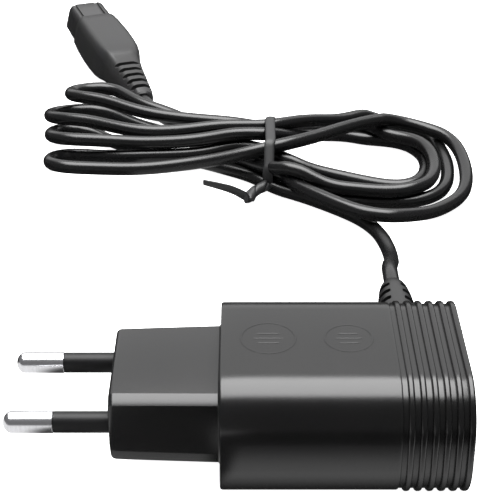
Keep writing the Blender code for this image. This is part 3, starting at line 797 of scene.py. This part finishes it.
pin_plating = plated_material()
sleeve_plastic = skin_material("sleeve_plastic", (0.004, 0.004, 0.0042), 0.42, grain=0.05, edge=0.2, ior=1.32)
tip_x = BLOCK_FACE - PIN_LENGTH
pin_profile = [
    (PIN_RADIUS * math.sin(angle), PIN_DOME * (1 - math.cos(angle)))
    for angle in (math.pi / 2 * k / 10 for k in range(11))
]
pin_profile += [(PIN_RADIUS, PIN_METAL - 0.1), (PIN_RADIUS - 0.1, PIN_METAL), (PIN_CORE, PIN_METAL)]
pin_profile += [(PIN_CORE, PIN_TAIL - tip_x), (0, PIN_TAIL - tip_x)]
sleeve_start = PIN_METAL + 0.03
sleeve_end = PIN_LENGTH + HOLE_DEPTH
sleeve_profile = [
    (PIN_CORE + PLAY, sleeve_start), (SLEEVE_RADIUS - 0.12, sleeve_start), (SLEEVE_RADIUS, sleeve_start + 0.12),
    (SLEEVE_RADIUS, sleeve_end), (PIN_CORE + PLAY, sleeve_end),
]
for name, side in (("front", -1), ("rear", 1)):
    axis_start = (tip_x, side * PIN_SPACING / 2, PIN_Z)
    pin = turned_mesh(f"pin_{name}", pin_profile, axis_start, (1, 0, 0))
    add_piece(f"plated_pin_{name}", pin, pin_plating, (f"pin_{name}",))
    sleeve = turned_mesh(f"sleeve_{name}", sleeve_profile, axis_start, (1, 0, 0))
    add_piece(f"insulating_sleeve_{name}", sleeve, sleeve_plastic, (f"pin_sleeve_{name}",))


# ---------------------------------------------------------------- strain relief
# Soft PVC boot moulded onto the lead and trapped in the casing's back wall by its collar. Slots from both
# sides let its tail bend with the lead.
RELIEF_TIP = 37.9
SLOT_ROWS = 4
FIRST_SLOT = 24.9
SLOT_PITCH = 2.9
SLOT_WIDTH = 1.35
relief_profile = [(0, 15.6), (4.0, 15.6), (4.0, 17.0), (2.7, 17.0), (2.7, 19.8), (4.3, 19.8), (4.3, 20.8),
                  (4.1, 21.2), (4.0, 22.6), (3.9, 25.0), (3.75, 28.5), (3.5, 31.5), (3.2, 33.8), (2.95, 35.2),
                  (2.6, 36.4), (2.2, 37.3), (1.95, RELIEF_TIP), (0, RELIEF_TIP)]
relief_mesh = turned_mesh("strain_relief", relief_profile, (LEAD_X, 0, CASING_Z), (0, 1, 0), 56)
slots = bmesh.new()
for row in range(SLOT_ROWS):
    for side in (-1, 1):
        centre = (LEAD_X + side * (3.45 - 0.12 * row), FIRST_SLOT + SLOT_PITCH * row, CASING_Z)
        add_rounded_box(slots, (4.0, SLOT_WIDTH, 9.0), centre, 0.35, 2)
relief_mesh = smoothed(cut_away(relief_mesh, slots), 32.0)
relief_pvc = skin_material("relief_pvc", (0.005, 0.005, 0.0052), 0.36, grain=0.12, scale=1800.0, edge=0.2)
relief = add_piece("lead_boot", relief_mesh, relief_pvc, ("strain_relief",))


# ---------------------------------------------------------------- twist tie
# Plastic-coated wire wrapped once round the waist of the hank. Its two ends are twisted together in front and
# the longer one is left lying on the table.
TIE_HALF_WIDTH = 1.25
TIE_HALF_THICKNESS = 0.42
TIE_FRONT = 105.0
TIE_KNOT_HEIGHT = 2.6
TIE_BOW = 1.2
STRAND_HALF_WIDTH = 1.15
STRAND_HALF_THICKNESS = 0.62
STRAND_OFFSET = 0.72
TAIL_HALF_WIDTH = 1.5
TAIL_HALF_THICKNESS = 0.34
TAIL_TAPER = 0.52
TAIL_FACING = (-0.2, -0.97, 0.0)
HANK_MIDDLE = (111.5, 6.5)
WAIST = [fold[0] for fold in FOLDS] + [LAST_SLOT]


def waist_loop(clearance, steps=72):
    """Shortest loop round the runs under the tie, as points in its plane."""
    loop = []
    for k in range(steps):
        angle = 2 * math.pi * k / steps
        out = (math.cos(angle), math.sin(angle))
        y, z = max(WAIST, key=lambda run: run[0] * out[0] + run[1] * out[1])
        loop.append((y + clearance * out[0], max(z + clearance * out[1], TIE_HALF_THICKNESS + 0.05)))
    return loop


def band_rings(path, normals, half_width, half_thickness, steps=14, taper=1.0):
    """Oval sections along a path; each section's thickness lies along the path's given normal."""
    rings = []
    for k, (spot, normal) in enumerate(zip(path, normals)):
        ahead = Vector(path[min(k + 1, len(path) - 1)]) - Vector(path[max(k - 1, 0)])
        across = ahead.cross(Vector(normal)).normalized()
        up = across.cross(ahead).normalized()
        ring = []
        wide = half_width * (1 + (taper - 1) * k / (len(path) - 1))
        for j in range(steps):
            angle = 2 * math.pi * j / steps
            ring.append(Vector(spot) + across * wide * math.cos(angle) + up * half_thickness * math.sin(angle))
        rings.append(ring)
    return rings


loop = waist_loop(LEAD_DIAMETER / 2 + TIE_HALF_THICKNESS - 0.05)
front = [k for k, (y, _) in enumerate(loop) if y <= TIE_FRONT]
start_at = min(front, key=lambda k: abs(loop[k][1] - TIE_KNOT_HEIGHT))
loop = loop[start_at:] + loop[:start_at] + [loop[start_at]]
wrap = [
    (TIE_X - TIE_BOW / 2 + TIE_BOW * math.sin(math.pi * k / (len(loop) - 1)), y, z)
    for k, (y, z) in enumerate(loop)
]
wrap = even_points(np.array(wrap), 0.6)
wrap_normals = wrap - np.array((TIE_X, *HANK_MIDDLE))
tie_bm = skin_rings(band_rings(wrap, wrap_normals, TIE_HALF_WIDTH, TIE_HALF_THICKNESS))

TWIST_LINE = [
    (7.8, 100.6, 3.0), (6.6, 99.6, 2.8), (5.2, 98.6, 2.5), (4.0, 97.4, 2.2), (3.4, 96.0, 1.9), (3.0, 95.0, 1.7),
]
TAIL_LINE = [
    (3.6, 96.4, 2.3), (3.0, 95.9, 1.9), (2.2, 96.6, 1.7), (0.6, 98.4, 1.65), (-1.4, 100.4, 1.6),
    (-4.7, 102.5, 1.55), (-8.3, 104.4, 1.55),
]


def twisted_strand(line, radius, turns, phase):
    """One of two wires twisted round a line."""
    centre = even_points(rounded_line(np.array(line), 6), 0.25)
    path, normals = [], []
    for k, spot in enumerate(centre):
        ahead = Vector(centre[min(k + 1, len(centre) - 1)] - centre[max(k - 1, 0)]).normalized()
        side = ahead.cross(Vector((0, 0, 1))).normalized()
        up = side.cross(ahead)
        angle = phase + 2 * math.pi * turns * k / (len(centre) - 1)
        out = side * math.cos(angle) + up * math.sin(angle)
        path.append(tuple(Vector(spot) + out * radius))
        normals.append(tuple(out))
    return path, normals


tie_parts = [tie_bm]
for phase in (0.0, math.pi):
    strand, strand_normals = twisted_strand(TWIST_LINE, STRAND_OFFSET, 1.0, phase)
    tie_parts.append(skin_rings(band_rings(strand, strand_normals, STRAND_HALF_WIDTH, STRAND_HALF_THICKNESS)))
tail = even_points(rounded_line(np.array(TAIL_LINE), 8), 0.4)
tail_rings = band_rings(tail, [TAIL_FACING] * len(tail), TAIL_HALF_WIDTH, TAIL_HALF_THICKNESS, taper=TAIL_TAPER)
tie_parts.append(skin_rings(tail_rings))
tie_whole = joined([plain_mesh("tie_part", part) for part in tie_parts])
tie_plastic = skin_material("tie_plastic", (0.012, 0.012, 0.0124), 0.5, grain=0.15, scale=1200.0, edge=0.2)
tie_mesh = smoothed(plain_mesh("twist_wire", tie_whole), 50.0)
tie = add_piece("twist_wire", tie_mesh, tie_plastic, ("twist_tie",))


# ---------------------------------------------------------------- connector
# Two-pole plug for the trimmer. The grip is soft PVC moulded over the lead, with a slotted, tapered tail; the
# nose is a hard moulding with a raised panel between two grooves and an oblong socket in its end.
TAIL_POINT = (-27.1, 153.0)
CONNECTOR_TURN = math.radians(19.2)
KEY_SLANT = 0.17
KEY_SHIFT = 0.8
SHIFTED_FROM = 15.0
TO_PLACE = Matrix.Translation((TAIL_POINT[0] * MM, TAIL_POINT[1] * MM, 0))
TO_PLACE = TO_PLACE @ Matrix.Rotation(CONNECTOR_TURN, 4, "Z")

GRIP_STATIONS = [
    (-2.4, 5.6, 4.6, 2.2, 3.2), (-2.0, 6.4, 5.2, 2.5, 3.3), (0.4, 7.4, 6.0, 2.9, 3.6),
    (4.0, 8.3, 6.6, 3.1, 3.85), (9.0, 9.6, 7.4, 3.3, 4.2), (14.0, 10.8, 8.1, 3.4, 4.6),
    (17.6, 11.7, 8.6, 3.3, 4.9), (18.6, 12.1, 8.9, 3.1, 5.1), (20.0, 12.8, 9.3, 3.0, 5.3),
    (22.0, 13.8, 9.8, 3.0, 5.3), (25.0, 14.7, 10.2, 3.0, 5.3), (30.0, 15.2, 10.4, 3.0, 5.3),
    (36.0, 15.4, 10.4, 3.0, 5.3), (42.0, 15.1, 10.2, 2.9, 5.3), (46.0, 14.8, 10.0, 2.8, 5.3),
    (49.7, 14.2, 9.7, 2.6, 5.3), (50.1, 13.8, 9.4, 2.5, 5.3), (50.3, 13.0, 8.6, 2.2, 5.3),
]


def keyed(across, up, width, height):
    """Leans the left side in towards the top: the connector fits only one way up."""
    if across > 0:
        return across
    return across + KEY_SLANT * width * (up / height + 0.5) * min(1.0, -2 * across / width)


def connector_mesh(name, stations, cuts):
    """Lofts through (along, width, height, corner radius, middle height), cuts, and lays it in place."""
    rings = []
    for along, width, height, radius, z in stations:
        shift = KEY_SHIFT * min(max(along / SHIFTED_FROM, 0), 1)
        outline = rounded_outline(width / 2, height / 2, radius, 8)
        rings.append([(keyed(across, up, width, height) - shift, along, z + up) for across, up in outline])
    mesh = cut_away(plain_mesh(name, skin_rings(rings)), cuts)
    mesh.transform(TO_PLACE)
    return smoothed(mesh, 28.0)


grip_cuts = bmesh.new()
for row in range(5):
    for side in (-1, 1):
        half = 3.9 + 0.32 * row
        centre = (side * 1.3, 0.6 + 3.1 * row, 3.7 + 0.24 * row + side * half)
        add_rounded_box(grip_cuts, (2 * half, 1.5, 4.9), centre, 0.5, 2)
grip_mesh = connector_mesh("grip", GRIP_STATIONS, grip_cuts)
grip_pvc = skin_material("grip_pvc", (0.010, 0.010, 0.0103), 0.42, grain=0.2, scale=1500.0, edge=0.25)
grip = add_piece("connector_body", grip_mesh, grip_pvc, ("connector_grip",))

NOSE_START = 50.6
NOSE_END = 63.0
NOSE_Z = 5.3
SOCKET = (9.0, 9.0, 4.8)
SOCKET_OPEN = 0.5
GROOVE = (1.05, 14.0, 1.1)
GROOVE_MIDDLE = -0.45
GROOVE_APART = 3.4
GROOVE_RISE = 4.25
NOSE_STATIONS = [
    (NOSE_START, 12.2, 7.8, 2.0, NOSE_Z), (NOSE_START + 0.3, 13.0, 8.6, 2.4, NOSE_Z),
    (56.0, 13.0, 8.5, 2.4, NOSE_Z), (NOSE_END - 0.7, 12.9, 8.4, 2.4, NOSE_Z),
    (NOSE_END - 0.25, 12.6, 8.1, 2.2, NOSE_Z), (NOSE_END, 12.0, 7.5, 2.0, NOSE_Z),
]
nose_cuts = bmesh.new()
add_rounded_box(nose_cuts, SOCKET, (0, NOSE_END + SOCKET_OPEN - 4.0, NOSE_Z), 0.5, 2)
for side in (-1, 1):
    for rise in (-1, 1):
        centre = (GROOVE_MIDDLE + side * GROOVE_APART, 57.0, NOSE_Z + rise * GROOVE_RISE)
        add_rounded_box(nose_cuts, GROOVE, centre, 0.0)
nose_mesh = connector_mesh("nose", NOSE_STATIONS, nose_cuts)
nose_plastic = skin_material("nose_plastic", (0.009, 0.009, 0.0093), 0.36, grain=0.08, scale=2400.0, edge=0.3)
nose = add_piece("connector_tip", nose_mesh, nose_plastic, ("connector_nose",))


# ---------------------------------------------------------------- board and parts inside the casing
# A switched-mode supply on a small phenolic board: bulk capacitors, a taped transformer, a bridge, a
# controller and their small parts. They keep their modelled shapes, and each kind gets its own finish.
BLACK_EPOXY = (0.025, 0.025, 0.027)
CAPACITORS = ("input_capacitor_1", "input_capacitor_2", "output_capacitor")
INSIDE_FINISHES = (
    (("circuit_board",), (0.22, 0.16, 0.06), 0.60, 0.25, 700.0, 0.0),
    (("transformer_core",), (0.050, 0.050, 0.055), 0.70, 0.50, 900.0, 0.0),
    (("transformer_bobbin",), (0.040, 0.040, 0.040), 0.50, 0.15, 1800.0, 0.0),
    (("transformer_winding",), (0.75, 0.55, 0.06), 0.38, 0.20, 500.0, 0.0),
    (CAPACITORS, (0.03, 0.04, 0.10), 0.35, 0.06, 2000.0, 0.0),
    (("bridge_rectifier", "controller_chip"), BLACK_EPOXY, 0.55, 0.20, 2200.0, 0.0),
    (("optocoupler",), (0.70, 0.70, 0.68), 0.50, 0.15, 2200.0, 0.0),
    (("output_diode",), BLACK_EPOXY, 0.50, 0.20, 2200.0, 0.0),
    (("fusible_resistor", "snubber_resistor"), (0.30, 0.42, 0.45), 0.50, 0.12, 1600.0, 0.0),
    (("y_capacitor",), (0.05, 0.18, 0.45), 0.40, 0.10, 1500.0, 0.0),
    (("filter_inductor",), BLACK_EPOXY, 0.45, 0.25, 1200.0, 0.0),
    (("mains_wire_front", "mains_wire_rear"), (0.03, 0.10, 0.40), 0.42, 0.10, 1500.0, 0.0),
    (("output_wire_positive",), (0.45, 0.02, 0.02), 0.42, 0.10, 1500.0, 0.0),
    (("output_wire_negative",), (0.02, 0.02, 0.02), 0.42, 0.10, 1500.0, 0.0),
    (("contact_carrier",), (0.014, 0.014, 0.0145), 0.40, 0.10, 2400.0, 0.0),
    (("contact_left", "contact_right"), (0.80, 0.62, 0.30), 0.25, 0.10, 3000.0, 1.0),
)
for node_names, colour, roughness, grain, scale, metallic in INSIDE_FINISHES:
    for node_name in node_names:
        finish = skin_material(f"{node_name}_finish", colour, roughness, grain, scale, 0.15, 0.2, metallic)
        for material_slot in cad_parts[node_name].material_slots:
            material_slot.material = finish


# ---------------------------------------------------------------- table and lights
# The charger lies on a plain pale table. A wide soft box hangs overhead, a large pale board stands behind, and
# the room is dim, so black plastic shows its top and its upper edges bright and its front dark. In reflections
# the table shows painted bright patches instead of its own face.
def add_soft_box(name, place, aim, size, power):
    light = bpy.data.lights.new(name, "AREA")
    light.shape = "RECTANGLE"
    light.size, light.size_y = size
    light.energy = power
    holder = bpy.data.objects.new(name, light)
    holder.location = place
    holder.rotation_euler = (Vector(aim) - Vector(place)).to_track_quat("-Z", "Y").to_euler()
    bpy.context.collection.objects.link(holder)


# Painted reflections: how bright the table looks when mirrored, with a bright patch in front of the casing, one
# under the pins and one under the block.
PAINTED_REFLECTION_PATCHES = (
    (1.3, (("Y", -0.043, -0.028), ("Y", -0.016, -0.027), ("X", -0.006, -0.002))),
    (1.0, (("X", -0.035, -0.041), ("Y", 0.03, 0.02))),
    (0.5, (("X", -0.003, -0.007), ("Y", -0.0175, -0.0150), ("X", -0.028, -0.024))),
)
PAINTED_REFLECTION_REST = 0.03


def add_table():
    bm = bmesh.new()
    bmesh.ops.create_grid(bm, x_segments=1, y_segments=1, size=2.5)
    mesh = plain_mesh("table", bm)
    table = bpy.data.objects.new("table", mesh)
    bpy.context.collection.objects.link(table)
    material = bpy.data.materials.new("table_white")
    material.use_nodes = True
    nodes, links = material.node_tree.nodes, material.node_tree.links
    shader = nodes["Principled BSDF"]
    shader.inputs["Base Color"].default_value = (0.86, 0.86, 0.86, 1.0)
    shader.inputs["Roughness"].default_value = 0.9
    shader.inputs["Specular IOR Level"].default_value = 0.0
    shader.inputs["Emission Color"].default_value = (1.0, 1.0, 1.0, 1.0)
    shader.inputs["Emission Strength"].default_value = 1.0

    # Painted reflections: glossy rays see the table as an emitter that is dark apart from its three patches,
    # instead of its own shading.
    place = nodes.new("ShaderNodeTexCoord")
    parts = nodes.new("ShaderNodeSeparateXYZ")
    links.new(place.outputs["Object"], parts.inputs["Vector"])
    level = PAINTED_REFLECTION_REST
    for strength, limits in PAINTED_REFLECTION_PATCHES:
        patch = strength
        for axis, dark, bright in limits:
            fall = nodes.new("ShaderNodeMapRange")
            fall.interpolation_type = "SMOOTHSTEP"
            fall.inputs["From Min"].default_value = dark
            fall.inputs["From Max"].default_value = bright
            links.new(parts.outputs[axis], fall.inputs["Value"])
            patch = math_step(material.node_tree, "MULTIPLY", fall.outputs["Result"], patch)
        level = math_step(material.node_tree, "ADD", patch, level)
    painted_reflection = nodes.new("ShaderNodeEmission")
    links.new(level, painted_reflection.inputs["Strength"])
    ray = nodes.new("ShaderNodeLightPath")
    choose = nodes.new("ShaderNodeMixShader")
    links.new(ray.outputs["Is Glossy Ray"], choose.inputs["Fac"])
    links.new(shader.outputs["BSDF"], choose.inputs[1])
    links.new(painted_reflection.outputs["Emission"], choose.inputs[2])
    links.new(choose.outputs["Shader"], nodes["Material Output"].inputs["Surface"])
    mesh.materials.append(material)


add_table()
LIT_SPOT = (0.0, 0.03, 0.0)
add_soft_box("overhead_box", (0.0, 0.16, 0.75), LIT_SPOT, (0.9, 0.70), 19.0)
add_soft_box("back_board", (0.0, 1.0, 0.62), LIT_SPOT, (1.8, 1.0), 7.0)
world = bpy.data.worlds.new("dim_room")
world.use_nodes = True
sky = world.node_tree.nodes["Background"]
sky.inputs["Color"].default_value = (0.9, 0.9, 0.92, 1.0)
sky.inputs["Strength"].default_value = 0.18
bpy.context.scene.world = world
bpy.context.scene.view_settings.view_transform = "Standard"
